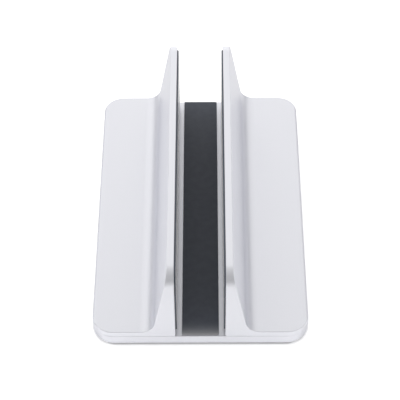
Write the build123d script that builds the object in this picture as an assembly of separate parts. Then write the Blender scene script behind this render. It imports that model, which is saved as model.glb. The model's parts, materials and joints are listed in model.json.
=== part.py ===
from build123d import *
from math import radians, tan
import os

# Adjustable vertical laptop stand: two extruded wings clamped on a base plate.
# The origin is at table level under the middle. X runs across the slot and Y along it,
# with the front at -Y and the left at -X. Z is up, and sizes are in millimetres.

# Base plate
base_width = 110.0
base_length = 165.0
base_thickness = 5.6
corner_radius = 11.0  # plan corners of the plate and of both wings
base_edge_round = 0.25

# Feet, glued into round seats under the plate
foot_diameter = 14.0
foot_stand_off = 1.4  # from the table to the plate
foot_seat_depth = 1.0
foot_seat_clearance = 0.15
foot_inset = 13.0  # from the plate's edges to a foot's centre
foot_edge_round = 0.4

# Wings
slot_width = 25.2  # between the inner faces of the fins
wing_height = 48.4
flange_thickness = 3.6
flange_edge_radius = 1.8  # long outer edge of a flange
fin_top_thickness = 3.6
fin_draft = 10.0  # degrees that the fin's outer face leans
root_radius = 8.0  # concave fillet from the flange to the fin
fin_corner_radius = 7.8  # upper corners of a fin, seen from the side
heel_radius = 1.0  # inner bottom edge of a wing
skin_edge_round = 0.3  # broken edge round the wing's outer skin
inner_edge_round = 0.25  # broken edge round the wing's inner face and underside

# Clamping screws, from below through slots in the plate
slide_travel = 3.0  # of each wing, inwards and outwards
screw_diameter = 4.0
screw_length = 10.0  # under the head
screw_inset = 8.2  # from a fin's inner face to the screw's axis
screw_end_inset = 30.0  # from a wing's end to the screw's axis
head_diameter = 7.6
head_height = 2.2
head_rim = 0.6  # straight part of the domed head
head_flat_diameter = 4.4  # flat round the socket
socket_width = 2.5  # across the flats
socket_depth = 1.4
head_sink = 0.1  # from the plate's underside to the head
washer_diameter = 9.0
washer_thickness = 0.8
washer_clearance = 0.15
thread_clearance = 0.05
thread_run_out = 1.0  # tapped depth past the screw's tip
slot_clearance = 0.2  # round a screw's shank in the plate
counterbore_clearance = 0.3  # round a washer in the plate

# Silicone pads
floor_pad_thickness = 1.0
floor_pad_gap = 0.3  # to a wing that is pushed fully in
floor_pad_end_margin = 0.8
wall_pad_thickness = 0.8
wall_pad_margin = 1.8  # from the fin's top and ends
wall_pad_rise = 3.5  # from the wing's underside
pad_corner_radius = 0.5
pad_edge_round = 0.2

# Levels and places that follow from the sizes above
plate_top = foot_stand_off + base_thickness
counterbore_depth = washer_thickness + head_height + head_sink
clamp_floor = base_thickness - counterbore_depth
washer_level = plate_top - clamp_floor - washer_thickness
thread_engagement = screw_length - washer_thickness - clamp_floor
fin_inner = slot_width / 2
screw_x = fin_inner + screw_inset
screw_y = base_length / 2 - screw_end_inset
screw_ends = [-screw_y, screw_y]

ON_BASE = (Align.CENTER, Align.CENTER, Align.MIN)


def base_plate():
    """Plate with rounded corners, slotted counterbored holes and seats for the feet."""
    outline = RectangleRounded(base_width, base_length, corner_radius)
    plate = extrude(Pos(0, 0, foot_stand_off) * outline, base_thickness)
    rims = plate.edges().group_by(Axis.Z)[0] + plate.edges().group_by(Axis.Z)[-1]
    plate = fillet(rims, base_edge_round)

    shank_width = screw_diameter + 2 * slot_clearance
    washer_width = washer_diameter + 2 * counterbore_clearance
    slot_run = 2 * (slide_travel + slot_clearance)
    shank_slot = extrude(SlotOverall(shank_width + slot_run, shank_width), base_thickness)
    counterbore = extrude(SlotOverall(washer_width + slot_run, washer_width), counterbore_depth)
    for side in (-1, 1):
        for y in screw_ends:
            plate -= Pos(side * screw_x, y, foot_stand_off) * (shank_slot + counterbore)

    seat = Cylinder(foot_diameter / 2 + foot_seat_clearance, foot_seat_depth, align=ON_BASE)
    for x, y in foot_places().values():
        plate -= Pos(x, y, foot_stand_off) * seat
    return plate


def right_wing():
    """Extruded wing: flange, concave root and tapered fin, with tapped holes underneath."""
    fin_outer_top = fin_inner + fin_top_thickness
    fin_outer_root = fin_outer_top + (wing_height - flange_thickness) * tan(radians(fin_draft))
    heel = (fin_inner, 0)
    root = (fin_outer_root, flange_thickness)
    flange_corner = (base_width / 2, flange_thickness)
    section = make_face(Polyline(
        heel,
        (fin_inner, wing_height),
        (fin_outer_top, wing_height),
        root,
        flange_corner,
        (base_width / 2, 0),
        close=True))
    section = fillet(nearest(section.vertices(), root), root_radius)
    section = fillet(nearest(section.vertices(), heel), heel_radius)
    wing = extrude(Plane.XZ * section, base_length / 2, both=True)

    side_view = Pos(0, wing_height / 2) * Rectangle(base_length, wing_height)
    side_view = fillet(side_view.vertices().group_by(Axis.Y)[-1], fin_corner_radius)
    wing &= extrude(Plane.YZ * side_view, base_width)

    wing = fillet(wing.edges().filter_by(Axis.Z).group_by(Axis.X)[-1], corner_radius)
    # Each round starts on one edge and runs on along the edges that are tangent to it
    long_edges = wing.edges().filter_by(Axis.Y).group_by(Axis.X)
    flange_edge = long_edges[-1].sort_by(Axis.Z)[-1]
    wing = fillet(flange_edge, skin_edge_round)
    long_edges = wing.edges().filter_by(Axis.Y).group_by(Axis.X)
    fin_edge = long_edges[0].sort_by(Axis.Z)[-1]
    wing = fillet(fin_edge, inner_edge_round)

    # The flange's long edge is cut round last, so that it runs out at the upright corners
    kept = Pos(-flange_edge_radius, -flange_edge_radius) * Circle(flange_edge_radius)
    waste = Rectangle(2 * flange_edge_radius, 2 * flange_edge_radius) - kept
    wing -= extrude(Plane.XZ * Pos(*flange_corner) * waste, base_length / 2, both=True)

    wing = Pos(0, 0, plate_top) * wing
    hole_depth = thread_engagement + thread_run_out
    tapped_hole = Cylinder(screw_diameter / 2 + thread_clearance, hole_depth, align=ON_BASE)
    for y in screw_ends:
        wing -= Pos(screw_x, y, plate_top) * tapped_hole
    return wing


def floor_pad():
    """Sheet on the plate that just clears both wings when they are pushed fully in."""
    width = slot_width - 2 * (slide_travel + floor_pad_gap)
    length = base_length - 2 * floor_pad_end_margin
    outline = RectangleRounded(width, length, pad_corner_radius)
    sheet = extrude(Pos(0, 0, plate_top) * outline, floor_pad_thickness)
    return fillet(sheet.edges().group_by(Axis.Z)[-1], pad_edge_round)


def right_wall_pad():
    """Sheet on a fin's inner face that follows the fin's upper corners."""
    length = base_length - 2 * wall_pad_margin
    height = wing_height - wall_pad_margin - wall_pad_rise
    outline = Pos(0, plate_top + wall_pad_rise + height / 2) * Rectangle(length, height)
    outline = fillet(outline.vertices().group_by(Axis.Y)[-1], fin_corner_radius - wall_pad_margin)
    outline = fillet(outline.vertices().group_by(Axis.Y)[0], pad_corner_radius)
    sheet = Pos(fin_inner, 0, 0) * extrude(Plane.YZ * outline, -wall_pad_thickness)
    return fillet(sheet.edges().group_by(Axis.X)[0], pad_edge_round)


def screw():
    """Domed socket screw with its head at the bottom, and the head's seat at Z = 0."""
    head_radius = head_diameter / 2
    rim_end = (head_radius, -head_rim)
    flat_start = (head_flat_diameter / 2, -head_height)
    half_section = make_face([
        Polyline(flat_start, (0, -head_height), (0, screw_length), (screw_diameter / 2, screw_length),
                 (screw_diameter / 2, 0), (head_radius, 0), rim_end),
        RadiusArc(rim_end, flat_start, head_radius)])
    solid = revolve(Plane.XZ * half_section, Axis.Z)
    socket = extrude(RegularPolygon(socket_width / 2, 6, major_radius=False), socket_depth)
    return solid - Pos(0, 0, -head_height) * socket


def washer():
    """Flat ring with its lower face at Z = 0."""
    hole = Cylinder(screw_diameter / 2 + washer_clearance, washer_thickness, align=ON_BASE)
    return Cylinder(washer_diameter / 2, washer_thickness, align=ON_BASE) - hole


def foot():
    """Round rubber foot that stands at Z = 0."""
    disc = Cylinder(foot_diameter / 2, foot_stand_off + foot_seat_depth, align=ON_BASE)
    return fillet(disc.edges().group_by(Axis.Z)[0], foot_edge_round)


def foot_places():
    """Centre of each foot by the name of its node."""
    x = base_width / 2 - foot_inset
    y = base_length / 2 - foot_inset
    return {
        "front_left_foot": (-x, -y),
        "front_right_foot": (x, -y),
        "back_left_foot": (-x, y),
        "back_right_foot": (x, y),
    }


def nearest(vertices, point):
    """The corner of a section that lies at a point."""
    return vertices.sort_by_distance(Vector(*point))[0]


def at_screws(piece, side):
    """Two like pieces at the screws of one wing, from the washers' lower face upwards."""
    return Compound(children=[Pos(side * screw_x, y, washer_level) * piece for y in screw_ends])


def build():
    """Every piece of the stand by the name of its node."""
    wing = right_wing()
    wall_pad = right_wall_pad()
    pieces = {
        "base_plate": base_plate(),
        "left_wing": mirror(wing, Plane.YZ),
        "right_wing": wing,
        "floor_pad": floor_pad(),
        "left_wall_pad": mirror(wall_pad, Plane.YZ),
        "right_wall_pad": wall_pad,
    }
    for name, side in (("left", -1), ("right", 1)):
        pieces[name + "_screws"] = at_screws(screw(), side)
        pieces[name + "_washers"] = at_screws(washer(), side)
    for name, (x, y) in foot_places().items():
        pieces[name] = Pos(x, y, 0) * foot()
    return pieces


os.makedirs("parts", exist_ok=True)
for node, shape in build().items():
    export_step(shape, f"parts/{node}.step")
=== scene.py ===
import json
from math import radians

import bpy
from mathutils import Matrix, Vector


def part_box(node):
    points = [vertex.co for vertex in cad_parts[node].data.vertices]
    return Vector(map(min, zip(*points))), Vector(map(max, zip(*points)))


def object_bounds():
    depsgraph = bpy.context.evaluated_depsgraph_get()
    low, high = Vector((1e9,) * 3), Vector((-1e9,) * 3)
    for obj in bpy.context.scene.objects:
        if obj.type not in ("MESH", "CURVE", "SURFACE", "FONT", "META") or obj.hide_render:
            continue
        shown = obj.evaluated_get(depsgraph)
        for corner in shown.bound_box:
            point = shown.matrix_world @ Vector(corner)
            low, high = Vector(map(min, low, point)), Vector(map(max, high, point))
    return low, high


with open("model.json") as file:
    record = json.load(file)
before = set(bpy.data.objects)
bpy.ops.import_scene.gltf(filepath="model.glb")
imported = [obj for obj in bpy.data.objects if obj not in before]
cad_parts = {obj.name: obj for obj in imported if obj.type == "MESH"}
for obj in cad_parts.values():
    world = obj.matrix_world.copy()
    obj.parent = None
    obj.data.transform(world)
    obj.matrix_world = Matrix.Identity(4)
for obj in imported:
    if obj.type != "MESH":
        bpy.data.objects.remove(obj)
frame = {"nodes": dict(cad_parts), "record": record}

# Looks, light and camera for a vertical laptop stand. Lengths are in metres, in the frame of the
# solids: X across the slot, Y along it towards the back, and Z up from the table.

cad_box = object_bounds()

# Camera, fitted to the edges of the stand in the photograph
camera_target = Vector((-0.00018, -0.00342, 0.0204))
camera_distance = 0.7708
camera_pitch = radians(49.62)  # below the horizon
camera_yaw = radians(0.48)
camera_roll = radians(-0.58)
sensor_width_mm = 36.0
focal_length_mm = 129.98

# Light: a white tent, told by the brightness in each direction. A span is the stretch of a
# direction's X, Y or Z over which one brightness gives way to another.
front_level = 0.47  # behind the camera
top_level = 0.71  # overhead
back_level = 1.215  # behind the stand
front_to_top_span = (-0.8, 0.3)  # of Y
top_to_back_span = (0.2, 1.0)  # of Y
left_gain = 0.10  # gained on the left and lost on the right
horizon_share = 0.10  # of the brightness, left at the horizon on both sides
horizon_height_span = (0.0, 0.30)  # of Z
horizon_side_span = (0.1, 0.7)  # of X, left and right
horizon_tint = (0.94, 0.97, 1.09, 1.0)
white = (1.0, 1.0, 1.0, 1.0)
box_level = 0.80  # added by the soft boxes to the left and right of the camera
box_side_span = (0.45, 0.75)  # of X, left and right
box_front_span = (-0.4, 0.05)  # of Y
box_height_span = (0.1, 0.5)  # of Z

# Table: plain in its own light, white in the picture with painted shade under the stand, and in the metal a
# white studio's floor with painted light and shade
floor_size = 8.0
floor_colour = (0.80, 0.80, 0.80, 1.0)
floor_white = (2.10, 2.10, 2.10, 1.0)  # as the picture shows it, so that it is white where it is lit
stand_corner = 0.011  # radius of the stand's plan corners
# Painted light and shade on the table, seen only in the metal: lighter in front of the stand and in its
# shadow there, darker further in front and beyond the corners
mirrored_side = 1.34  # brightness in the metal, beside and behind the stand
mirrored_front = 1.66  # in front of it
mirrored_close = 1.76  # in its shadow at the front
shadow_length = 0.006  # of that shadow
side_turn_before = 0.0005  # the front's brightness begins to give way to the side's, before the front edge
side_turn_after = 0.0025  # and has done so, behind it
mirrored_far = 0.56  # share that is left further in front, out of the light
mirrored_far_span = (-0.20, -0.085)  # of Y, from that share to the whole
mirrored_corner = 0.93  # share that is left beyond the corners
mirrored_corner_length = 0.010  # into a corner, until the rest is lost
# Painted shade in the picture: less white in the gap under the stand, with painted light reaching further in
# at its corners
gap_white = 0.5  # share of white that is left in the gap under the stand
gap_depth = 0.0003  # from the stand's edge inwards, where this share is reached
gap_rim = 0.0004  # from the edge outwards, where all is white
lit_corner_length = 0.005  # into a corner, until the light of two sides meets
lit_corner_depth = 0.0012  # that this light reaches further in

# Noise
noise_span = (0.3, 0.7)  # of its values, which seldom lie beyond
soft_detail = 2.0
fine_detail = 3.0

# Aluminium. Here and below, colours are linear, and a roughness is that of the smoothest and of
# the roughest spots.
aluminium_light = (0.849, 0.853, 0.895, 1.0)
aluminium_dark = (0.834, 0.838, 0.881, 1.0)
aluminium_roughness = (0.38, 0.48)
aluminium_patch = 0.0006
dimple_size = 0.00025  # left by the blasting
dimple_depth = 0.000012

# Silicone
silicone_light = (0.104, 0.116, 0.146, 1.0)
silicone_dark = (0.092, 0.104, 0.133, 1.0)
wall_pad_roughness = (0.10, 0.16)
floor_pad_roughness = (0.40, 0.48)
silicone_patch = 0.0040
silicone_pore = 0.00035
silicone_pore_depth = 0.00004
silicone_bump = 0.30
silicone_ior = 1.41
silicone_sheen = 0.35
silicone_sheen_roughness = 0.30
# Painted light: the floor pad turns lighter grey towards its front end, the open end of the slot
painted_light_colour = (0.400, 0.402, 0.420, 1.0)
painted_light_length = 0.011  # of the floor pad's front end
painted_light_power = 3.5  # how quickly it fades from there

# Steel
steel_light = (0.62, 0.615, 0.60, 1.0)
steel_dark = (0.50, 0.495, 0.485, 1.0)
steel_roughness = (0.24, 0.36)
steel_patch = 0.0008
turning_mark = 0.00012
turning_mark_depth = 0.00002
turning_mark_bump = 0.25

# Rubber
rubber_light = (0.034, 0.034, 0.036, 1.0)
rubber_dark = (0.022, 0.022, 0.024, 1.0)
rubber_roughness = (0.72, 0.86)
rubber_patch = 0.0025
rubber_pore = 0.00030
rubber_pore_depth = 0.00005
rubber_bump = 0.40


class Nodes:
    """Short way to add and join the nodes of one tree."""

    # Places of the colour sockets on a Mix node
    MIX_SHARE, MIX_FIRST, MIX_SECOND, MIX_RESULT = 0, 6, 7, 2

    def __init__(self, tree, output="ShaderNodeOutputMaterial"):
        self.tree = tree
        self.output = output
        tree.nodes.clear()

    def add(self, kind, settings=None, **inputs):
        """New node; inputs are values or sockets, by the socket's name with _ for a space."""
        node = self.tree.nodes.new(kind)
        for name, value in (settings or {}).items():
            setattr(node, name, value)
        for name, value in inputs.items():
            self.put(node.inputs[name.replace("_", " ")], value)
        return node

    def put(self, socket, value):
        """Sets a socket to a value, or joins another socket to it."""
        if isinstance(value, bpy.types.NodeSocket):
            self.tree.links.new(value, socket)
        else:
            socket.default_value = value

    def math(self, operation, first, second=0.0):
        node = self.add("ShaderNodeMath", {"operation": operation})
        self.put(node.inputs[0], first)
        self.put(node.inputs[1], second)
        return node.outputs[0]

    def vector(self, operation, first, second=(0.0, 0.0, 0.0)):
        node = self.add("ShaderNodeVectorMath", {"operation": operation})
        self.put(node.inputs[0], first)
        self.put(node.inputs[1], second)
        return node.outputs["Value" if operation == "LENGTH" else "Vector"]

    def parts(self, vector):
        """X, Y and Z of a vector."""
        return self.add("ShaderNodeSeparateXYZ", Vector=vector).outputs

    def spread(self, value, low, high, start, end, interpolation="SMOOTHSTEP"):
        """A value from low to high, spread from start to end."""
        node = self.add("ShaderNodeMapRange", {"interpolation_type": interpolation}, Value=value,
                        From_Min=low, From_Max=high, To_Min=start, To_Max=end)
        return node.outputs["Result"]

    def blend(self, share, first, second):
        """Colour between two colours."""
        node = self.add("ShaderNodeMix", {"data_type": "RGBA"})
        self.put(node.inputs[self.MIX_SHARE], share)
        self.put(node.inputs[self.MIX_FIRST], first)
        self.put(node.inputs[self.MIX_SECOND], second)
        return node.outputs[self.MIX_RESULT]

    def place(self):
        """Place on the piece, in its own coordinates."""
        return self.add("ShaderNodeTexCoord").outputs["Object"]

    def grain(self, size, detail=soft_detail):
        """Noise with features of about one size."""
        noise = self.add("ShaderNodeTexNoise", Vector=self.place(), Scale=1.0 / size, Detail=detail)
        return noise.outputs["Fac"]

    def over_noise(self, noise, start, end):
        """A number that follows a noise from start to end."""
        return self.spread(noise, *noise_span, start, end)

    def patches(self, noise, dark, light):
        """Colour that follows a noise from dark to light."""
        return self.blend(self.over_noise(noise, 0.0, 1.0), dark, light)

    def bump(self, height, depth, strength=1.0):
        return self.add("ShaderNodeBump", Strength=strength, Distance=depth, Height=height).outputs[0]

    def surface(self, shader):
        """Makes a shader the surface of the material or world."""
        self.add(self.output, Surface=shader.outputs[0])


def new_material(name):
    material = bpy.data.materials.new(name)
    material.use_nodes = True
    return material, Nodes(material.node_tree)


def blasted_aluminium():
    """Bead-blasted, clear anodised aluminium."""
    material, nodes = new_material("anodised_aluminium")
    mottle = nodes.grain(aluminium_patch, fine_detail)
    dimples = nodes.add("ShaderNodeTexVoronoi", Vector=nodes.place(), Scale=1.0 / dimple_size)
    nodes.surface(nodes.add(
        "ShaderNodeBsdfPrincipled",
        Base_Color=nodes.patches(mottle, aluminium_dark, aluminium_light),
        Metallic=1.0,
        Roughness=nodes.over_noise(mottle, *aluminium_roughness),
        Normal=nodes.bump(dimples.outputs["Distance"], dimple_depth)))
    return material


def silicone(name, roughness, painted_light=False):
    """Silicone sheet with a fine moulded grain, and where asked painted light: lighter grey at the floor
    pad's front.
    """
    material, nodes = new_material(name)
    pores = nodes.grain(silicone_pore, fine_detail)
    colour = nodes.patches(nodes.grain(silicone_patch), silicone_dark, silicone_light)
    # Painted light: lighter grey towards the floor pad's front end
    if painted_light:
        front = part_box("floor_pad")[0][1]
        along = nodes.parts(nodes.place())["Y"]
        share = nodes.spread(along, front + painted_light_length, front, 0.0, 1.0, "LINEAR")
        colour = nodes.blend(nodes.math("POWER", share, painted_light_power), colour, painted_light_colour)
    nodes.surface(nodes.add(
        "ShaderNodeBsdfPrincipled",
        Base_Color=colour,
        Roughness=nodes.over_noise(pores, *roughness),
        IOR=silicone_ior,
        Sheen_Weight=silicone_sheen,
        Sheen_Roughness=silicone_sheen_roughness,
        Normal=nodes.bump(pores, silicone_pore_depth, silicone_bump)))
    return material


def screw_steel():
    """Plain stainless steel with fine turning marks."""
    material, nodes = new_material("screw_steel")
    marks = nodes.grain(turning_mark)
    nodes.surface(nodes.add(
        "ShaderNodeBsdfPrincipled",
        Base_Color=nodes.patches(nodes.grain(steel_patch), steel_dark, steel_light),
        Metallic=1.0,
        Roughness=nodes.over_noise(marks, *steel_roughness),
        Normal=nodes.bump(marks, turning_mark_depth, turning_mark_bump)))
    return material


def foot_rubber():
    """Matt black rubber."""
    material, nodes = new_material("foot_rubber")
    pores = nodes.grain(rubber_pore, fine_detail)
    nodes.surface(nodes.add(
        "ShaderNodeBsdfPrincipled",
        Base_Color=nodes.patches(nodes.grain(rubber_patch), rubber_dark, rubber_light),
        Roughness=nodes.over_noise(pores, *rubber_roughness),
        Normal=nodes.bump(pores, rubber_pore_depth, rubber_bump)))
    return material


def dress_solids():
    """Gives each solid the finish of its material slot in the record."""
    finishes = {
        "anodised_aluminium": blasted_aluminium(),
        "silicone": silicone("silicone", wall_pad_roughness),
        "screw_steel": screw_steel(),
        "foot_rubber": foot_rubber(),
    }
    for subpart in frame["record"]["subparts"]:
        mesh = frame["nodes"][subpart["node"]].data
        mesh.materials.clear()
        mesh.materials.append(finishes[subpart["material_slot"]])
    floor_pad = frame["nodes"]["floor_pad"].data
    # The floor pad gets painted light at its front end
    floor_pad.materials[0] = silicone("silicone_painted_light", floor_pad_roughness, painted_light=True)


def past_core(nodes):
    """How far a place on the table is from the stand's core, inside the corner rounds, and into a corner."""
    core = (cad_box[1][0] - stand_corner, cad_box[1][1] - stand_corner, 0.0)
    past = nodes.vector("SUBTRACT", nodes.vector("ABSOLUTE", nodes.place()), core)
    past = nodes.vector("MAXIMUM", past)
    sides = nodes.parts(past)
    return nodes.vector("LENGTH", past), nodes.math("MINIMUM", sides["X"], sides["Y"])


def mirrored_level(nodes, corner):
    """The table's brightness in the metal, with painted light and shade: lighter in front and in the stand's
    shadow there, darker further in front and beyond the corners.
    """
    along = nodes.parts(nodes.place())["Y"]
    front = cad_box[0][1]
    before = nodes.spread(along, front - shadow_length, front, mirrored_front, mirrored_close)
    beside = nodes.spread(along, front - side_turn_before, front + side_turn_after,
                          0.0, mirrored_side - mirrored_close)
    far = nodes.spread(along, *mirrored_far_span, mirrored_far, 1.0, "LINEAR")
    at_corner = nodes.spread(corner, 0.0, mirrored_corner_length, 1.0, mirrored_corner)
    level = nodes.math("MULTIPLY", nodes.math("ADD", before, beside), far)
    return nodes.math("MULTIPLY", level, at_corner)


def white_share(nodes, past, corner):
    """Share of white in the picture: the whole beyond the stand, and less in the gap under it, which is
    painted shade, with painted light reaching further in at the corners.
    """
    turned = nodes.spread(corner, 0.0, lit_corner_length, 0.0, lit_corner_depth)
    return nodes.spread(nodes.math("ADD", past, turned), stand_corner - gap_depth, stand_corner + gap_rim,
                        gap_white, 1.0)


def white_table():
    """Floor that shows white where it is fully lit and keeps the stand's shadow, with painted shade in the
    gap under the stand and painted light and shade in the metal.
    """
    mesh = bpy.data.meshes.new("table")
    half = floor_size / 2
    mesh.from_pydata([(-half, -half, 0), (half, -half, 0), (half, half, 0), (-half, half, 0)],
                     [], [(0, 1, 2, 3)])
    table = bpy.data.objects.new("table", mesh)
    bpy.context.scene.collection.objects.link(table)

    material, nodes = new_material("table_white")
    path = nodes.add("ShaderNodeLightPath").outputs
    past, corner = past_core(nodes)
    direct = nodes.math("LESS_THAN", path["Diffuse Depth"], 1.0)  # no diffuse bounce on the way
    in_metal = nodes.math("MULTIPLY", path["Is Glossy Ray"], direct)
    colour = nodes.blend(in_metal, floor_colour, mirrored_level(nodes, corner))
    seen = nodes.math("MAXIMUM", path["Is Camera Ray"], path["Is Transmission Ray"])
    # Painted shade: less white in the gap under the stand
    seen = nodes.math("MULTIPLY", seen, white_share(nodes, past, corner))
    nodes.surface(nodes.add("ShaderNodeBsdfDiffuse", Color=nodes.blend(seen, colour, floor_white)))
    mesh.materials.append(material)


def studio_tent():
    """White tent for a world: bright behind the stand, dim behind the camera and at the horizon."""
    world = bpy.data.worlds.new("tent")
    world.use_nodes = True
    bpy.context.scene.world = world
    nodes = Nodes(world.node_tree, "ShaderNodeOutputWorld")
    direction = nodes.parts(nodes.add("ShaderNodeTexCoord").outputs["Generated"])
    aside = nodes.math("ABSOLUTE", direction["X"])

    to_top = nodes.spread(direction["Y"], *front_to_top_span, front_level, top_level)
    to_back = nodes.spread(direction["Y"], *top_to_back_span, 0.0, back_level - top_level)
    left = nodes.spread(direction["X"], -1.0, 1.0, 1.0 + left_gain, 1.0 - left_gain)
    lost = nodes.math(
        "MULTIPLY", nodes.spread(direction["Z"], *horizon_height_span, 1.0 - horizon_share, 0.0),
        nodes.spread(aside, *horizon_side_span, 0.0, 1.0))
    level = nodes.math("MULTIPLY", nodes.math("ADD", to_top, to_back), left)
    level = nodes.math("MULTIPLY", level, nodes.math("SUBTRACT", 1.0, lost))

    box = nodes.math(
        "MULTIPLY", nodes.spread(aside, *box_side_span, 0.0, box_level),
        nodes.spread(direction["Y"], *box_front_span, 1.0, 0.0))
    box = nodes.math("MULTIPLY", box, nodes.spread(direction["Z"], *box_height_span, 0.0, 1.0))
    level = nodes.math("ADD", level, box)

    camera_ray = nodes.add("ShaderNodeLightPath").outputs["Is Camera Ray"]
    nodes.surface(nodes.add(
        "ShaderNodeBackground",
        Color=nodes.blend(lost, white, horizon_tint),
        Strength=nodes.math("MAXIMUM", level, camera_ray)))


def photo_camera():
    """Camera at the photograph's place and angle."""
    data = bpy.data.cameras.new("photo_camera")
    data.sensor_width = sensor_width_mm
    data.lens = focal_length_mm
    camera = bpy.data.objects.new("photo_camera", data)
    turn = (Matrix.Rotation(camera_yaw, 4, "Z") @ Matrix.Rotation(radians(90) - camera_pitch, 4, "X")
            @ Matrix.Rotation(camera_roll, 4, "Z"))
    place = camera_target + turn @ Vector((0, 0, camera_distance))
    camera.matrix_world = Matrix.Translation(place) @ turn
    bpy.context.scene.collection.objects.link(camera)
    bpy.context.scene.camera = camera


dress_solids()
white_table()
studio_tent()
photo_camera()
bpy.context.scene.view_settings.view_transform = "Standard"
